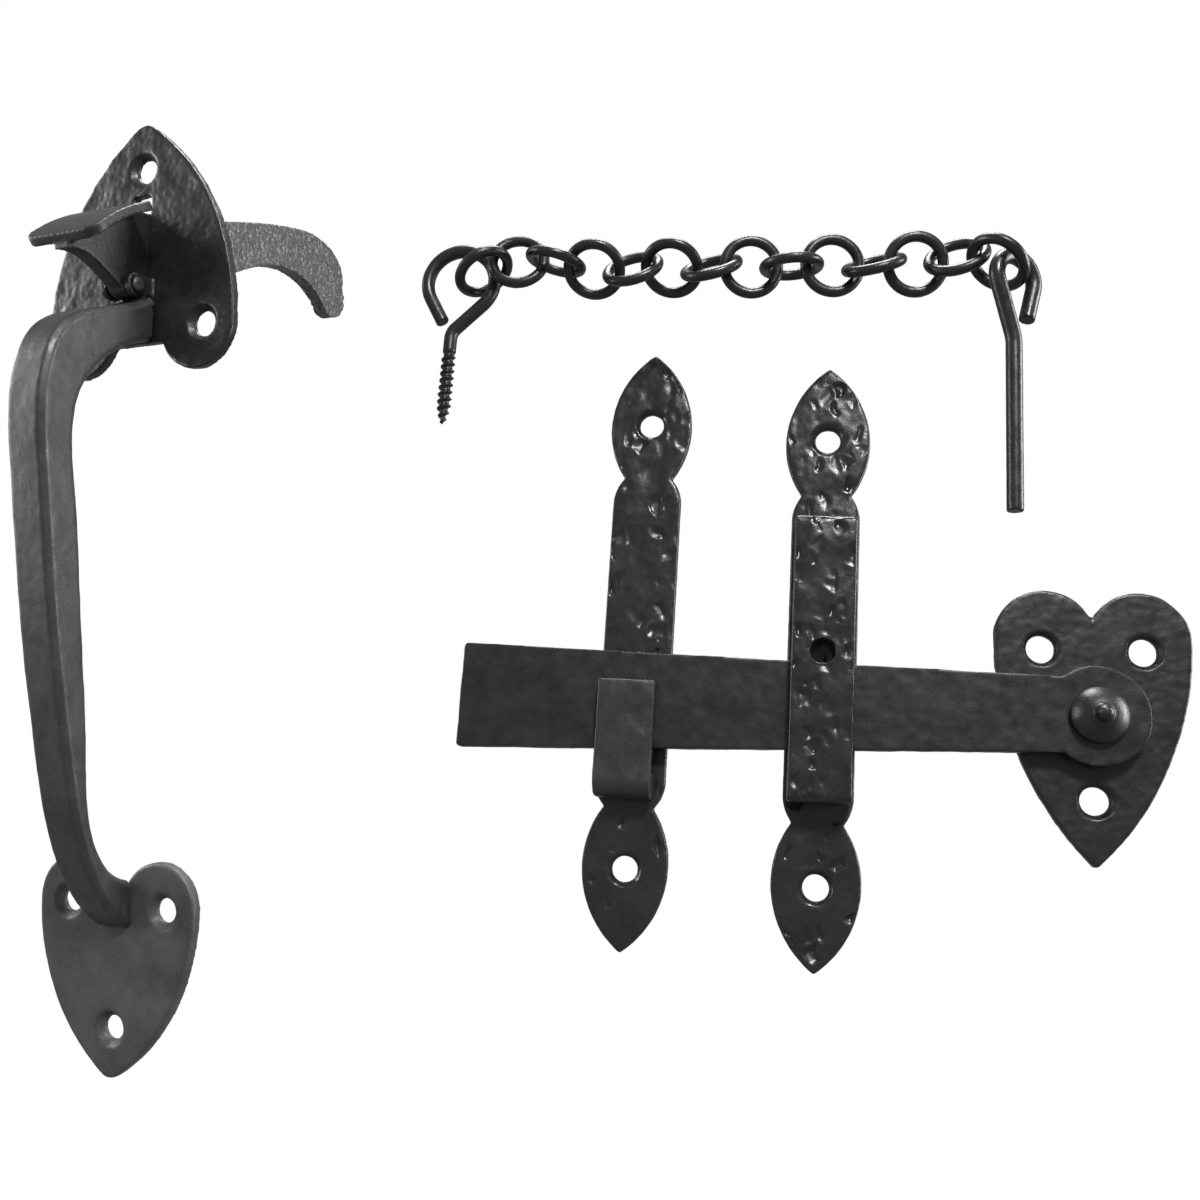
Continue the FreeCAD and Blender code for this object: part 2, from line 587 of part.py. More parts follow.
def lug(side):
    """One of the two ears that hold the lever's pin, on the front of the upper plate."""
    inner = LEVER_THICK / 2 + LEVER_SIDE_GAP
    start_x = inner if side > 0 else -inner - LUG_THICK
    hub = Part.makeCylinder(LUG_R, LUG_THICK, Vector(start_x, -LEVER_PIVOT_Y, LEVER_PIVOT_Z),
                            Vector(1, 0, 0))
    web = box(start_x, start_x + LUG_THICK, -LEVER_PIVOT_Y, -PULL_PLATE_THICK,
              LEVER_PIVOT_Z - LUG_R, LEVER_PIVOT_Z + LUG_R)
    return hub.fuse(web)


def lever_bore(radius):
    """Cylinder along the lever's pivot axis, long enough to cut everything there."""
    reach = 3 * LEVER_THICK
    return Part.makeCylinder(radius, 2 * reach, Vector(-reach, -LEVER_PIVOT_Y, LEVER_PIVOT_Z),
                             Vector(1, 0, 0))


def make_pull_upper_plate(grip):
    holes = [(0, UPPER_TOP_HOLE_Z), (UPPER_SIDE_HOLE_X, UPPER_SIDE_HOLE_Z),
             (-UPPER_SIDE_HOLE_X, UPPER_SIDE_HOLE_Z)]
    outline = (UPPER_HALF_WIDTH, UPPER_LOBE_R, UPPER_LOBE_Z, UPPER_TIP_Z, UPPER_NOTCH_Z)
    plate = pull_plate(outline, holes)
    slot_half = LEVER_THICK / 2 + LEVER_SIDE_GAP
    slot = box(-slot_half, slot_half, -2 * PULL_PLATE_THICK, PULL_PLATE_THICK, SLOT_LOW_Z, SLOT_TOP_Z)
    plate = plate.cut(slot)
    lugs = lug(1).fuse(lug(-1)).cut(lever_bore(LEVER_PIN_R))
    return plate.fuse(lugs).cut(grip)


def make_pull_lower_plate(grip):
    holes = [(0, LOWER_LOW_HOLE_Z), (LOWER_SIDE_HOLE_X, LOWER_SIDE_HOLE_Z),
             (-LOWER_SIDE_HOLE_X, LOWER_SIDE_HOLE_Z)]
    outline = (LOWER_HALF_WIDTH, LOWER_LOBE_R, LOWER_LOBE_Z, LOWER_TIP_Z, LOWER_NOTCH_Z)
    return pull_plate(outline, holes).cut(grip)


def make_lever_pin():
    half = LEVER_THICK / 2 + LEVER_SIDE_GAP + LUG_THICK
    axis = Vector(1, 0, 0)
    centre = Vector(0, -LEVER_PIVOT_Y, LEVER_PIVOT_Z)
    shank = Part.makeCylinder(LEVER_PIN_R, 2 * half, centre - axis * half, axis)
    heads = [Part.makeCone(LEVER_PIN_HEAD_R, LEVER_PIN_R, LEVER_PIN_HEAD, centre + axis * half * side,
                           axis * side) for side in (1, -1)]
    return shank.multiFuse(heads).removeSplitter()


def make_thumb_lever():
    """Web and tail drawn from the side, with the thumb pad across the front."""
    left = -LEVER_THICK / 2
    at = lambda pair: side_point(pair, left)
    hub_point = lambda degrees: circle_point(LEVER_PIVOT_Y, LEVER_PIVOT_Z, LEVER_HUB_R, degrees)
    under_inner = (PAD_INNER[0] + PAD_EDGE_MARGIN, PAD_INNER[1] - PAD_THICK / 2)
    under_outer = (PAD_OUTER[0] - PAD_RIB_MARGIN, PAD_OUTER[1] - PAD_THICK / 2)
    hub_front = hub_point(HUB_FRONT_ANGLE)
    hub_low = hub_point(HUB_LOW_ANGLE)
    hub_back = hub_point(HUB_BACK_ANGLE)
    rib = [(under_outer[0], under_outer[1] - RIB_DEPTH)] + RIB_CURVE
    edges = [line(at(under_inner), at(TAIL_TOP[0])),
             smooth([at(p) for p in TAIL_TOP]),
             arc(at(TAIL_TOP[-1]), at(TAIL_TIP), at(TAIL_LOW[0])),
             smooth([at(p) for p in TAIL_LOW]),
             line(at(TAIL_LOW[-1]), at(hub_back)),
             arc(at(hub_back), at(hub_low), at(hub_front)),
             smooth([at(hub_front)] + [at(p) for p in reversed(rib)]),
             line(at(rib[0]), at(under_outer)),
             line(at(under_outer), at(under_inner))]
    web = Part.Face(Part.Wire(edges)).extrude(Vector(LEVER_THICK, 0, 0))
    lever = web.fuse(make_pad()).removeSplitter()
    return lever.cut(lever_bore(LEVER_PIN_R + LEVER_BORE_CLEAR))


def make_pad():
    """Curved thumb pad, rounded at its four corners."""
    at = lambda pair: side_point(pair, -PAD_HALF_WIDTH)
    slope = math.atan2(PAD_INNER[1] - PAD_OUTER[1], PAD_OUTER[0] - PAD_INNER[0])
    shift = (-PAD_THICK * math.sin(slope), -PAD_THICK * math.cos(slope))
    top = [PAD_INNER, PAD_CROWN, PAD_OUTER]
    under = [(p[0] + shift[0], p[1] + shift[1]) for p in top]
    edges = [arc(*[at(p) for p in top]), line(at(top[2]), at(under[2])),
             arc(*[at(p) for p in reversed(under)]), line(at(under[0]), at(top[0]))]
    pad = Part.Face(Part.Wire(edges)).extrude(Vector(2 * PAD_HALF_WIDTH, 0, 0))
    corners = []
    for edge in pad.Edges:
        size = edge.BoundBox
        at_side = size.XLength < TINY
        short = edge.Length < 1.5 * PAD_THICK
        if at_side and short:
            corners.append(edge)
    return pad.makeFillet(PAD_CORNER_R, corners)


# ---- safety chain ----------------------------------------------------------------------------------
def link_placement(number):
    """Where a ring lies and how it is turned, from a ring in the x-z plane."""
    if number in LOOSE_LINKS:
        centre, facing = LOOSE_LINKS[number]
    else:
        centre = Vector(FIRST_LINK_X + (number - 1) * LINK_PITCH, CHAIN_Y, CHAIN_Z)
        facing = ROW_LINKS[number]
    return Placement(centre, Rotation(Vector(0, 1, 0), facing))


def make_link(number):
    ring = Part.makeTorus(LINK_R, LINK_WIRE / 2, Vector(0, 0, 0), Vector(0, 1, 0))
    ring.Placement = link_placement(number)
    return ring


def wire_solid(edges, start, direction, wire_diameter):
    """Round bar swept along a path of straight runs and arcs."""
    path = Part.Wire(edges)
    profile = Part.Wire([Part.makeCircle(wire_diameter / 2, start, direction)])
    return path.makePipeShell([profile], True, False)


def make_screw_eye():
    """Hook of round wire, a slanting neck and an upright shank with a wood-screw thread."""
    at = lambda pair: Vector(pair[0], CHAIN_Y, pair[1])
    leave = circle_point(EYE_X, EYE_Z, EYE_R, EYE_OPEN_ANGLE)
    top = circle_point(EYE_X, EYE_Z, EYE_R, 90)
    neck = circle_point(EYE_X, EYE_Z, EYE_R, EYE_NECK_ANGLE)
    end = circle_point(leave[0], leave[1], EYE_END_RUN, EYE_OPEN_ANGLE + 90)
    slant = math.radians(90 + EYE_NECK_ANGLE)
    corner_z = neck[1] - (neck[0] - EYE_SHANK_X) / math.tan(slant)
    trim = EYE_NECK_BEND_R * math.tan(slant / 2)
    before = (EYE_SHANK_X + trim * math.sin(slant), corner_z + trim * math.cos(slant))
    after = (EYE_SHANK_X, corner_z - trim)
    bend_angle = 180 - math.degrees(slant) / 2
    bend_mid = circle_point(EYE_SHANK_X + EYE_NECK_BEND_R, after[1], EYE_NECK_BEND_R, bend_angle)
    low = (EYE_SHANK_X, THREAD_TOP_Z)
    edges = [line(at(end), at(leave)), arc(at(leave), at(top), at(neck)), line(at(neck), at(before)),
             arc(at(before), at(bend_mid), at(after)), line(at(after), at(low))]
    hook = wire_solid(edges, at(end), at(leave) - at(end), EYE_WIRE)
    return hook.fuse(screw_thread(EYE_SHANK_X)).removeSplitter()


def screw_thread(x):
    """Thread as a row of sharp collars on a tapering core, ending in a point."""
    profile = [(0, THREAD_TOP_Z), (EYE_WIRE / 2, THREAD_TOP_Z)]
    point_z = SCREW_TIP_Z + SCREW_POINT
    turns = int((THREAD_TOP_Z - point_z) / THREAD_PITCH)
    for turn in range(turns):
        top = THREAD_TOP_Z - turn * THREAD_PITCH
        taper = 1 - (1 - THREAD_TIP_SCALE) * turn / turns
        profile.append((THREAD_CORE_R * taper, top - THREAD_PITCH * THREAD_ROOT))
        profile.append((THREAD_OUTER_R * taper, top - THREAD_PITCH * THREAD_CREST))
    profile.append((THREAD_CORE_R * THREAD_TIP_SCALE, point_z))
    profile.append((0, SCREW_TIP_Z))
    points = [Vector(x + r, CHAIN_Y, z) for r, z in profile]
    points.append(points[0])
    face = Part.Face(Part.Wire([line(a, b) for a, b in zip(points, points[1:])]))
    return face.revolve(Vector(x, CHAIN_Y, 0), Vector(0, 0, 1), 360)


def make_drop_pin():
    """Straight pin whose upper end is bent into an open eye, drawn in the eye's own plane."""
    turn = math.radians(PIN_LOOP_TURN)
    at = lambda pair: Vector(PIN_X + pair[0] * math.cos(turn), PIN_Y + pair[0] * math.sin(turn), pair[1])
    leave = circle_point(PIN_LOOP_OFFSET, PIN_LOOP_Z, PIN_LOOP_R, PIN_LEAVE_ANGLE)
    top = circle_point(PIN_LOOP_OFFSET, PIN_LOOP_Z, PIN_LOOP_R, 90)
    over = circle_point(PIN_LOOP_OFFSET, PIN_LOOP_Z, PIN_LOOP_R, PIN_END_ANGLE)
    lean = math.radians(PIN_LEAVE_ANGLE - 180)
    corner_z = leave[1] + leave[0] / math.tan(lean)
    trim = PIN_BEND_R * math.tan(lean / 2)
    low = (0.0, corner_z - trim)
    high = (-trim * math.sin(lean), corner_z + trim * math.cos(lean))
    bend_mid = (-PIN_BEND_R * (1 - math.cos(lean / 2)), low[1] + PIN_BEND_R * math.sin(lean / 2))
    over_angle = math.radians(PIN_END_ANGLE)
    end = (over[0] + PIN_END_RUN * math.sin(over_angle), over[1] - PIN_END_RUN * math.cos(over_angle))
    edges = [line(at((0, PIN_LOW_Z)), at(low)), arc(at(low), at(bend_mid), at(high)),
             line(at(high), at(leave)), arc(at(leave), at(top), at(over)), line(at(over), at(end))]
    return wire_solid(edges, at((0, PIN_LOW_Z)), Vector(0, 0, 1), PIN_WIRE)


# ---- build and write ---------------------------------------------------------------------------------
def moved(shape, placement):
    copy = shape.copy()
    copy.Placement = placement.multiply(copy.Placement)
    return copy


def build():
    nodes = {
        "heart_plate": make_heart_plate(),
        "pivot_stud": make_pivot_stud(),
        "latch_bar": make_latch_bar(),
        "keeper_strap": make_keeper_strap(),
        "keeper_bridge": make_keeper_bridge(),
        "catch_strap": make_catch_strap(),
        "catch_hook": make_catch_hook(),
        "screw_eye": make_screw_eye(),
        "drop_pin": make_drop_pin(),
    }
    grip = make_pull_grip()
    handle = {
        "pull_grip": grip,
        "pull_upper_plate": make_pull_upper_plate(grip),
        "pull_lower_plate": make_pull_lower_plate(grip),
        "thumb_lever": make_thumb_lever(),
        "lever_pin": make_lever_pin(),
    }
    placement = handle_placement()
    for name, shape in handle.items():
        nodes[name] = moved(shape, placement)
    for number in range(1, LINK_COUNT + 1):
        nodes["chain_link_%02d" % number] = make_link(number)
    return nodes


def main():
    for name, shape in build().items():
        solid = shape.Solids[0] if len(shape.Solids) == 1 else shape
        if not solid.isValid():
            print("not valid:", name)
        print("%-18s solids %d volume %.1f" % (name, len(shape.Solids), shape.Volume))
        solid.exportStep("parts/%s.step" % name)


main()
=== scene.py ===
import json
import math

import bmesh
import bpy
import numpy as np
from mathutils import Matrix, Vector, noise


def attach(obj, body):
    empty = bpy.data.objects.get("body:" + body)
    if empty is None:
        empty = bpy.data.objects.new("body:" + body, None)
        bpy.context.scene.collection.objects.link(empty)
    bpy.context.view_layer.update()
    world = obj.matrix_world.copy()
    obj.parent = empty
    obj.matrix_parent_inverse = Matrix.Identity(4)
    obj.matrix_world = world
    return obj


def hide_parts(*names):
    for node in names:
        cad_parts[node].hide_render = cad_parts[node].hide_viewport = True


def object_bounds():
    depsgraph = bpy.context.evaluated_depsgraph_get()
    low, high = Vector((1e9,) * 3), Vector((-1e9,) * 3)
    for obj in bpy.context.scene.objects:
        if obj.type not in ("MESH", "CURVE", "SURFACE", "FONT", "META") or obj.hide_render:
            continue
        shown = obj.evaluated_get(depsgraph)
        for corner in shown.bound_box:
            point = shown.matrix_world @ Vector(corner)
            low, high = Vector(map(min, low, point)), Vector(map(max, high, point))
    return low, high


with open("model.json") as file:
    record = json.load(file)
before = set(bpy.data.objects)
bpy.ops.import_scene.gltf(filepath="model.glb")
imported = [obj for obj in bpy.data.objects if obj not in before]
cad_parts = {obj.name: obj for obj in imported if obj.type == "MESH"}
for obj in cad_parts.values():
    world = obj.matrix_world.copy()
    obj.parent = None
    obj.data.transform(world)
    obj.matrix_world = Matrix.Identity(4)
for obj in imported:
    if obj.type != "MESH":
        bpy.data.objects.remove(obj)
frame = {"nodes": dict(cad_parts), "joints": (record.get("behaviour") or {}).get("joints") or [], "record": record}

REST_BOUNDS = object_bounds()
MM = 0.001

CAMERA_PLACE = Vector((-0.07003, -0.28995, -0.03712))
CAMERA_YAW = -9.963
CAMERA_PITCH = 11.955
CAMERA_ROLL = 3.958
CAMERA_LENS = 34.508
SENSOR_WIDTH = 36.0


# ---- cast pieces ---------------------------------------------------------------------------------
def welded_copy(node):
    """A copy of a CAD node's mesh as a new object, with its split vertices joined."""
    mesh = frame["nodes"][node].data.copy()
    form = bmesh.new()
    form.from_mesh(mesh)
    bmesh.ops.remove_doubles(form, verts=form.verts, dist=0.002 * MM)
    form.to_mesh(mesh)
    form.free()
    piece = bpy.data.objects.new(node + "_cast", mesh)
    bpy.context.scene.collection.objects.link(piece)
    return piece


def refine(piece, voxel, soften):
    """Gives the piece an even fine mesh whose hard edges are softened, as a casting's are."""
    remesh = piece.modifiers.new("even", "REMESH")
    remesh.mode = "VOXEL"
    remesh.voxel_size = voxel * MM
    relax = piece.modifiers.new("soft", "SMOOTH")
    relax.factor = 0.5
    relax.iterations = soften
    depsgraph = bpy.context.evaluated_depsgraph_get()
    fine = bpy.data.meshes.new_from_object(piece.evaluated_get(depsgraph))
    piece.modifiers.clear()
    piece.data = fine
    for polygon in fine.polygons:
        polygon.use_smooth = True


def read_points(mesh):
    points = np.empty(len(mesh.vertices) * 3)
    mesh.vertices.foreach_get("co", points)
    return points.reshape(-1, 3)


def read_normals(mesh):
    normals = np.empty(len(mesh.vertices) * 3)
    mesh.vertex_normals.foreach_get("vector", normals)
    return normals.reshape(-1, 3)


def press_in(piece, depth_at):
    """Moves the surface inwards by a depth in millimetres that depends on the place."""
    mesh = piece.data
    points = read_points(mesh)
    normals = read_normals(mesh)
    depths = np.array([depth_at(Vector(p) / MM, Vector(n)) for p, n in zip(points, normals)])
    points -= normals * (depths * MM)[:, None]
    mesh.vertices.foreach_set("co", points.ravel())
    mesh.update()


def mark_edges(piece, rounds):
    """Stores how far each vertex stands proud of its neighbours, for the worn edges and for the painted shade in
    the hollows.
    """
    mesh = piece.data
    points = read_points(mesh)
    normals = read_normals(mesh)
    pairs = np.empty(len(mesh.edges) * 2, int)
    mesh.edges.foreach_get("vertices", pairs)
    pairs = pairs.reshape(-1, 2)
    counts = np.bincount(pairs.ravel(), minlength=len(points))[:, None]
    mean = points
    for _ in range(rounds):
        total = np.zeros_like(points)
        np.add.at(total, pairs[:, 0], mean[pairs[:, 1]])
        np.add.at(total, pairs[:, 1], mean[pairs[:, 0]])
        mean = total / np.maximum(counts, 1)
    proud = ((points - mean) * normals).sum(1) / MM
    attribute = mesh.attributes.new("proud", "FLOAT", "POINT")
    attribute.data.foreach_set("value", proud.astype(np.float32))


def mark(piece, name, amount_at):
    """Stores a number at each vertex for the material to read."""
    mesh = piece.data
    values = [amount_at(Vector(p) / MM) for p in read_points(mesh)]
    attribute = mesh.attributes.new(name, "FLOAT", "POINT")
    attribute.data.foreach_set("value", np.array(values, np.float32))


def grain(p, size):
    """Soft noise between 0 and 1 with features of the given size in millimetres."""
    return 0.5 + 0.5 * noise.noise(p / size)


def hammered(dent, depth, share, swell, seed):
    """Hammer marks of uneven strength on a gently uneven face. Share is how many marks there are."""
    shift = Vector((seed * 37.0, seed * 11.0, seed * 23.0))

    def depth_at(p, n):
        place = Vector((p.x, p.y, p.z / 1.35)) + shift
        wobble = noise.noise_vector(place / (dent * 0.9)) * dent * 0.45
        distances, centres = noise.voronoi((place + wobble) / dent)
        strength = noise.cell(centres[0] * 7.3)
        bowl = max(0.0, 1.0 - (distances[0] / 0.75) ** 2) ** 2 * max(0.0, strength - 1.0 + share) / share
        on_face = max(0.0, -n.y)
        return on_face * (depth * bowl + swell * grain(place, 5.5)) + 0.12 * grain(place, 1.6)
    return depth_at


def cast_skin(depth, size, seed):
    """Shallow unevenness of a sand casting, broad swells and a fine grain."""
    shift = Vector((seed * 17.0, seed * 29.0, seed * 5.0))

    def depth_at(p, n):
        place = p + shift
        return depth * (0.7 * grain(place, size) + 0.3 * grain(place, size / 3.5))
    return depth_at


def tail_amount(start, way):
    """How rough the lever is at a place: 0 in front of the plate, 1 along the tail."""
    def amount_at(p):
        return min(max((p - start).dot(way) / 10.0, 0.0), 1.0)
    return amount_at


def rough_tail(amount_at):
    """Rough cast skin that grows along the lever's tail, from the plate to the tip."""
    smooth = cast_skin(0.10, 5.0, 3)

    def depth_at(p, n):
        pits = max(0.0, noise.noise(p / 1.1) - 0.05)
        lumps = grain(p, 2.6)
        return smooth(p, n) + amount_at(p) * (0.20 * lumps + 0.5 * pits)
    return depth_at


def add_piece(node, body, material, voxel, soften, depth_at):
    piece = welded_copy(node)
    refine(piece, voxel, soften)
    press_in(piece, depth_at)
    mark_edges(piece, 4)
    piece.data.materials.clear()
    piece.data.materials.append(material)
    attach(piece, body)
    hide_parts(node)
    return piece


# ---- the screw eye's thread ------------------------------------------------------------------------
THREAD_PITCH = 1.9
THREAD_CORE = 1.2
THREAD_CREST = 1.9
THREAD_POINT = 5.0


def cut_thread(piece, axis_x, axis_y, top_z):
    """Turns the shank below the given height into a wood-screw thread that runs out to a point."""
    mesh = piece.data
    points = read_points(mesh) / MM
    low_z = points[:, 2].min()
    away = points[:, :2] - np.array([axis_x, axis_y])
    radius = np.hypot(away[:, 0], away[:, 1])
    angle = np.arctan2(away[:, 1], away[:, 0])
    below = (points[:, 2] < top_z) & (radius > 0.05)
    turn = (points[:, 2] / THREAD_PITCH - angle / (2 * math.pi)) % 1.0
    ridge = np.clip(1 - np.abs(turn - 0.5) / 0.32, 0, 1) ** 0.8
    start = np.clip((top_z - points[:, 2]) / 2.0, 0, 1)
    point = np.clip((points[:, 2] - low_z) / THREAD_POINT, 0.04, 1)
    core = THREAD_CORE * point ** 0.7
    crest = THREAD_CREST * point ** 0.45
    threaded = core + (crest - core) * ridge
    target = radius * (1 - start) + threaded * start
    target = np.where(points[:, 2] < low_z + 0.3, radius, target)
    scale = np.where(below, target / np.maximum(radius, 0.05), 1.0)
    points[:, :2] = np.array([axis_x, axis_y]) + away * scale[:, None]
    mesh.vertices.foreach_set("co", (points * MM).ravel())
    mesh.update()


# ---- materials ---------------------------------------------------------------------------------------
def value_of(value):
    return (value, value, value * 1.02, 1.0)


class Nodes:
    """Short names for the shader nodes that the iron needs."""
    def __init__(self, tree):
        self.nodes = tree.nodes
        self.links = tree.links
        self.place = self.nodes.new("ShaderNodeTexCoord").outputs["Object"]

    def noise(self, size, detail):
        node = self.nodes.new("ShaderNodeTexNoise")
        node.inputs["Scale"].default_value = 1.0 / (size * MM)
        node.inputs["Detail"].default_value = detail
        self.links.new(self.place, node.inputs["Vector"])
        return node.outputs["Fac"]

    def spread(self, source, low, high, to_low, to_high):
        node = self.nodes.new("ShaderNodeMapRange")
        values = (low, high, to_low, to_high)
        for socket, value in zip(("From Min", "From Max", "To Min", "To Max"), values):
            node.inputs[socket].default_value = value
        self.links.new(source, node.inputs["Value"])
        return node.outputs["Result"]

    def times(self, first, second):
        node = self.nodes.new("ShaderNodeMath")
        node.operation = "MULTIPLY"
        self.links.new(first, node.inputs[0])
        self.links.new(second, node.inputs[1])
        return node.outputs["Value"]

    def attribute(self, name):
        node = self.nodes.new("ShaderNodeAttribute")
        node.attribute_name = name
        return node.outputs["Fac"]

    def blend(self, factor, first, second):
        node = self.nodes.new("ShaderNodeMix")
        node.data_type = "RGBA"
        self.links.new(factor, node.inputs["Factor"])
        for name, colour in (("A", first), ("B", second)):
            socket = [s for s in node.inputs if s.name == name and s.type == "RGBA"][0]
            if isinstance(colour, tuple):
                socket.default_value = colour
            else:
                self.links.new(colour, socket)
        return [s for s in node.outputs if s.type == "RGBA"][0]


def iron(name, shade, edge_shade, roughness, metal, grain_size, bump):
    """Black finished iron: uneven tone, fine grain, edges worn a little lighter, hollows darkened with painted
    shade.
    """
    material = bpy.data.materials.new(name)
    material.use_nodes = True
    shader = material.node_tree.nodes["Principled BSDF"]
    shader.inputs["Metallic"].default_value = metal
    make = Nodes(material.node_tree)
    broad = make.noise(9.0, 3.0)
    fine = make.noise(grain_size, 4.0)
    body = make.blend(make.spread(broad, 0.3, 0.7, 0.0, 1.0), value_of(shade * 0.7), value_of(shade * 1.3))
    speckled = make.blend(make.spread(fine, 0.5, 0.75, 0.0, 0.5), body, value_of(shade * 1.9))
    rubbed = make.times(make.spread(make.attribute("proud"), 0.05, 0.22, 0.0, 1.0),
                        make.spread(make.noise(4.0, 3.0), 0.35, 0.6, 0.15, 1.0))
    wear_and_hollow_shade = make.blend(rubbed, speckled, value_of(edge_shade))
    # Painted shade: vertices that sit below their neighbours are darkened towards shade * 0.3, as if shade fell
    # there.
    painted_hollow_shade = make.spread(make.attribute("proud"), -0.16, -0.03, 1.0, 0.0)
    wear_and_hollow_shade = make.blend(painted_hollow_shade, wear_and_hollow_shade, value_of(shade * 0.3))
    # Lighter speckles along the lever's tail: a mottled rough cast skin, and partly painted glints.
    speckle_and_glint_spots = make.times(make.spread(make.noise(1.1, 2.0), 0.54, 0.66, 0.25, 1.0), make.attribute("mottle_and_glint"))
    colour = make.blend(speckle_and_glint_spots, wear_and_hollow_shade, value_of(0.16))
    make.links.new(colour, shader.inputs["Base Color"])
    gloss = make.spread(make.noise(3.0, 4.0), 0.3, 0.75, roughness - 0.07, roughness + 0.13)
    make.links.new(gloss, shader.inputs["Roughness"])
    relief = make.nodes.new("ShaderNodeBump")
    relief.inputs["Strength"].default_value = bump
    relief.inputs["Distance"].default_value = 0.12 * MM
    make.links.new(fine, relief.inputs["Height"])
    make.links.new(relief.outputs["Normal"], shader.inputs["Normal"])
    return material


# ---- build the pieces ----------------------------------------------------------------------------------
HAMMERED = iron("hammered_iron", 0.016, 0.035, 0.27, 0.0, 0.7, 0.3)
# Lighter copy of the hammered iron for the hook: painted sheen standing in for the light its face catches.
LIT_HOOK_IRON = iron("hook_iron_painted_sheen", 0.028, 0.06, 0.36, 0.0, 0.7, 0.3)
BLACK = iron("black_iron", 0.012, 0.032, 0.36, 0.0, 0.6, 0.3)
HANDLE = iron("handle_iron", 0.034, 0.075, 0.42, 0.0, 0.5, 0.35)
# Lighter copy of the handle iron for the lower plate: painted light, making up for the light the plate lacks.
LIT_LOWER_PLATE_IRON = iron("lower_plate_iron_painted_light", 0.058, 0.10, 0.45, 0.0, 0.5, 0.3)
LEVER = iron("rough_iron", 0.016, 0.06, 0.40, 0.0, 0.5, 0.5)
WIRE = iron("black_wire", 0.011, 0.02, 0.30, 0.0, 0.5, 0.25)


def build_latch():
    add_piece("heart_plate", "plates", BLACK, 0.4, 7, cast_skin(0.45, 6.0, 1))
    add_piece("pivot_stud", "plates", BLACK, 0.28, 3, cast_skin(0.08, 3.0, 2))
    add_piece("latch_bar", "bar", BLACK, 0.42, 7, cast_skin(0.45, 8.0, 4))
    for node in ("keeper_strap", "keeper_bridge"):
        add_piece(node, "plates", HAMMERED, 0.34, 12, hammered(3.0, 0.85, 0.95, 0.65, 1))
    add_piece("catch_strap", "plates", HAMMERED, 0.36, 8, hammered(3.4, 0.8, 0.85, 0.7, 2))
    # The hook takes the lighter copy of the hammered iron: painted sheen.
    add_piece("catch_hook", "plates", LIT_HOOK_IRON, 0.34, 18, hammered(5.0, 0.3, 0.6, 0.6, 3))


def build_handle():
    add_piece("pull_upper_plate", "plates", BLACK, 0.42, 6, cast_skin(0.6, 5.0, 5))
    # The lower plate takes the lighter copy of the handle iron: painted light.
    add_piece("pull_lower_plate", "plates", LIT_LOWER_PLATE_IRON, 0.42, 6, cast_skin(0.2, 7.0, 5))
    add_piece("pull_grip", "plates", HANDLE, 0.45, 6, cast_skin(0.35, 8.0, 6))
    add_piece("lever_pin", "plates", HANDLE, 0.25, 3, cast_skin(0.06, 2.0, 7))
    hinge = [j for j in frame["joints"] if j["name"] == "thumb_lever_hinge"][0]
    pivot = Vector(hinge["pos_m"]) / MM
    across = Vector(hinge["axis"])
    back = Vector((0, 0, 1)).cross(across).normalized()
    amount_at = tail_amount(pivot + back * 16.0, back)
    lever = add_piece("thumb_lever", "lever", LEVER, 0.4, 4, rough_tail(amount_at))
    # Stores where the tail's lighter speckles go: mottled cast skin and partly painted glints.
    mark(lever, "mottle_and_glint", amount_at)


def build_chain():
    wire_skin = cast_skin(0.07, 2.5, 8)
    thread = [m for m in frame["record"]["mounts"] if m["name"] == "screw_eye_thread"][0]
    axis_x, axis_y, top_z = [c / MM for c in thread["pos_m"]]
    eye = add_piece("screw_eye", "plates", WIRE, 0.24, 3, wire_skin)
    cut_thread(eye, axis_x, axis_y, top_z)
    for body, members in sorted(frame["record"]["behaviour"]["bodies"].items()):
        if body.startswith("link_"):
            add_piece(members[0], body, WIRE, 0.3, 3, wire_skin)
    add_piece("drop_pin", "pin", WIRE, 0.3, 3, wire_skin)


build_latch()
build_handle()
build_chain()


# ---- stage, light and camera ------------------------------------------------------------------------------
def glowing(name, strength):
    """Evenly white surface for the stage."""
    material = bpy.data.materials.new(name)
    material.use_nodes = True
    tree = material.node_tree
    tree.nodes.clear()
    shader = tree.nodes.new("ShaderNodeEmission")
    shader.inputs["Color"].default_value = (1.0, 1.0, 1.0, 1.0)
    shader.inputs["Strength"].default_value = strength
    output = tree.nodes.new("ShaderNodeOutputMaterial")
    tree.links.new(shader.outputs["Emission"], output.inputs["Surface"])
    return material


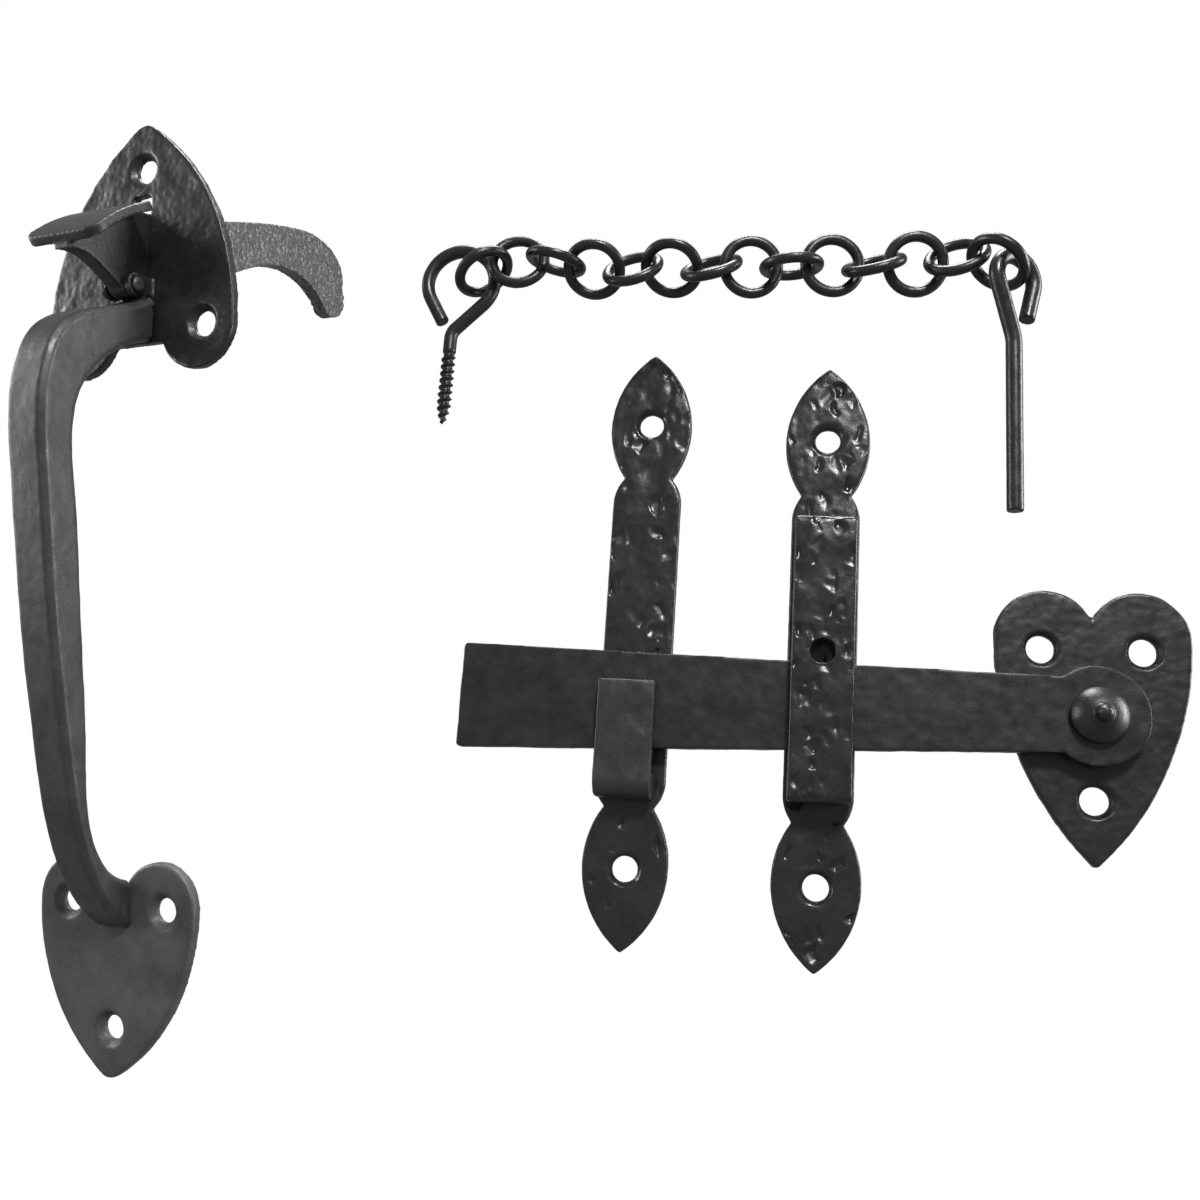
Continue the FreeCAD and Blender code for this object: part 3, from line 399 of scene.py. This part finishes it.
def make_stage():
    """A white room: floor, walls and ceiling that are seen but give the iron no light."""
    low, high = REST_BOUNDS
    floor_z = low.z - 0.25
    half = 4.0
    form = bmesh.new()
    bmesh.ops.create_cube(form, size=2 * half)
    bmesh.ops.translate(form, verts=form.verts, vec=(0.0, 0.0, floor_z + half))
    mesh = bpy.data.meshes.new("white_room")
    form.to_mesh(mesh)
    form.free()
    mesh.materials.append(glowing("white_stage", 1.0))
    room = bpy.data.objects.new("white_room", mesh)
    room.visible_diffuse = False
    room.visible_glossy = False
    room.visible_shadow = False
    bpy.context.scene.collection.objects.link(room)


def add_softbox(name, place, target, width, height, power):
    light = bpy.data.lights.new(name, "AREA")
    light.shape = "RECTANGLE"
    light.size = width
    light.size_y = height
    light.energy = power
    lamp = bpy.data.objects.new(name, light)
    lamp.location = place
    lamp.rotation_mode = "QUATERNION"
    lamp.rotation_quaternion = (Vector(target) - Vector(place)).to_track_quat("-Z", "Y")
    bpy.context.scene.collection.objects.link(lamp)


def make_light():
    world = bpy.data.worlds.new("studio")
    world.use_nodes = True
    background = world.node_tree.nodes["Background"]
    background.inputs["Color"].default_value = (1.0, 1.0, 1.0, 1.0)
    background.inputs["Strength"].default_value = 0.31
    bpy.context.scene.world = world
    centre = (-0.12, 0.0, 0.02)
    add_softbox("key", (0.14, -0.75, 0.65), centre, 0.18, 0.18, 9.0)
    add_softbox("right", (0.95, 0.10, 0.25), centre, 0.35, 0.8, 12.0)
    add_softbox("top", (-0.15, 0.10, 0.98), centre, 0.5, 0.3, 10.0)
    add_softbox("left", (-0.98, -0.15, 0.20), centre, 0.2, 0.5, 4.0)


def make_camera():
    yaw, pitch, roll = [math.radians(a) for a in (CAMERA_YAW, CAMERA_PITCH, CAMERA_ROLL)]
    ahead = Vector((math.sin(yaw) * math.cos(pitch), math.cos(yaw) * math.cos(pitch), math.sin(pitch)))
    level = Vector((math.cos(yaw), -math.sin(yaw), 0.0))
    above = level.cross(ahead)
    right = level * math.cos(roll) + above * math.sin(roll)
    up = above * math.cos(roll) - level * math.sin(roll)
    turn = Matrix((right, up, -ahead)).transposed()
    data = bpy.data.cameras.new("camera")
    data.sensor_width = SENSOR_WIDTH
    data.lens = CAMERA_LENS
    data.clip_start = 0.01
    camera = bpy.data.objects.new("camera", data)
    camera.location = CAMERA_PLACE
    camera.rotation_mode = "QUATERNION"
    camera.rotation_quaternion = turn.to_quaternion()
    bpy.context.scene.collection.objects.link(camera)
    bpy.context.scene.camera = camera


make_stage()
make_light()
make_camera()
bpy.context.scene.view_settings.view_transform = "Standard"
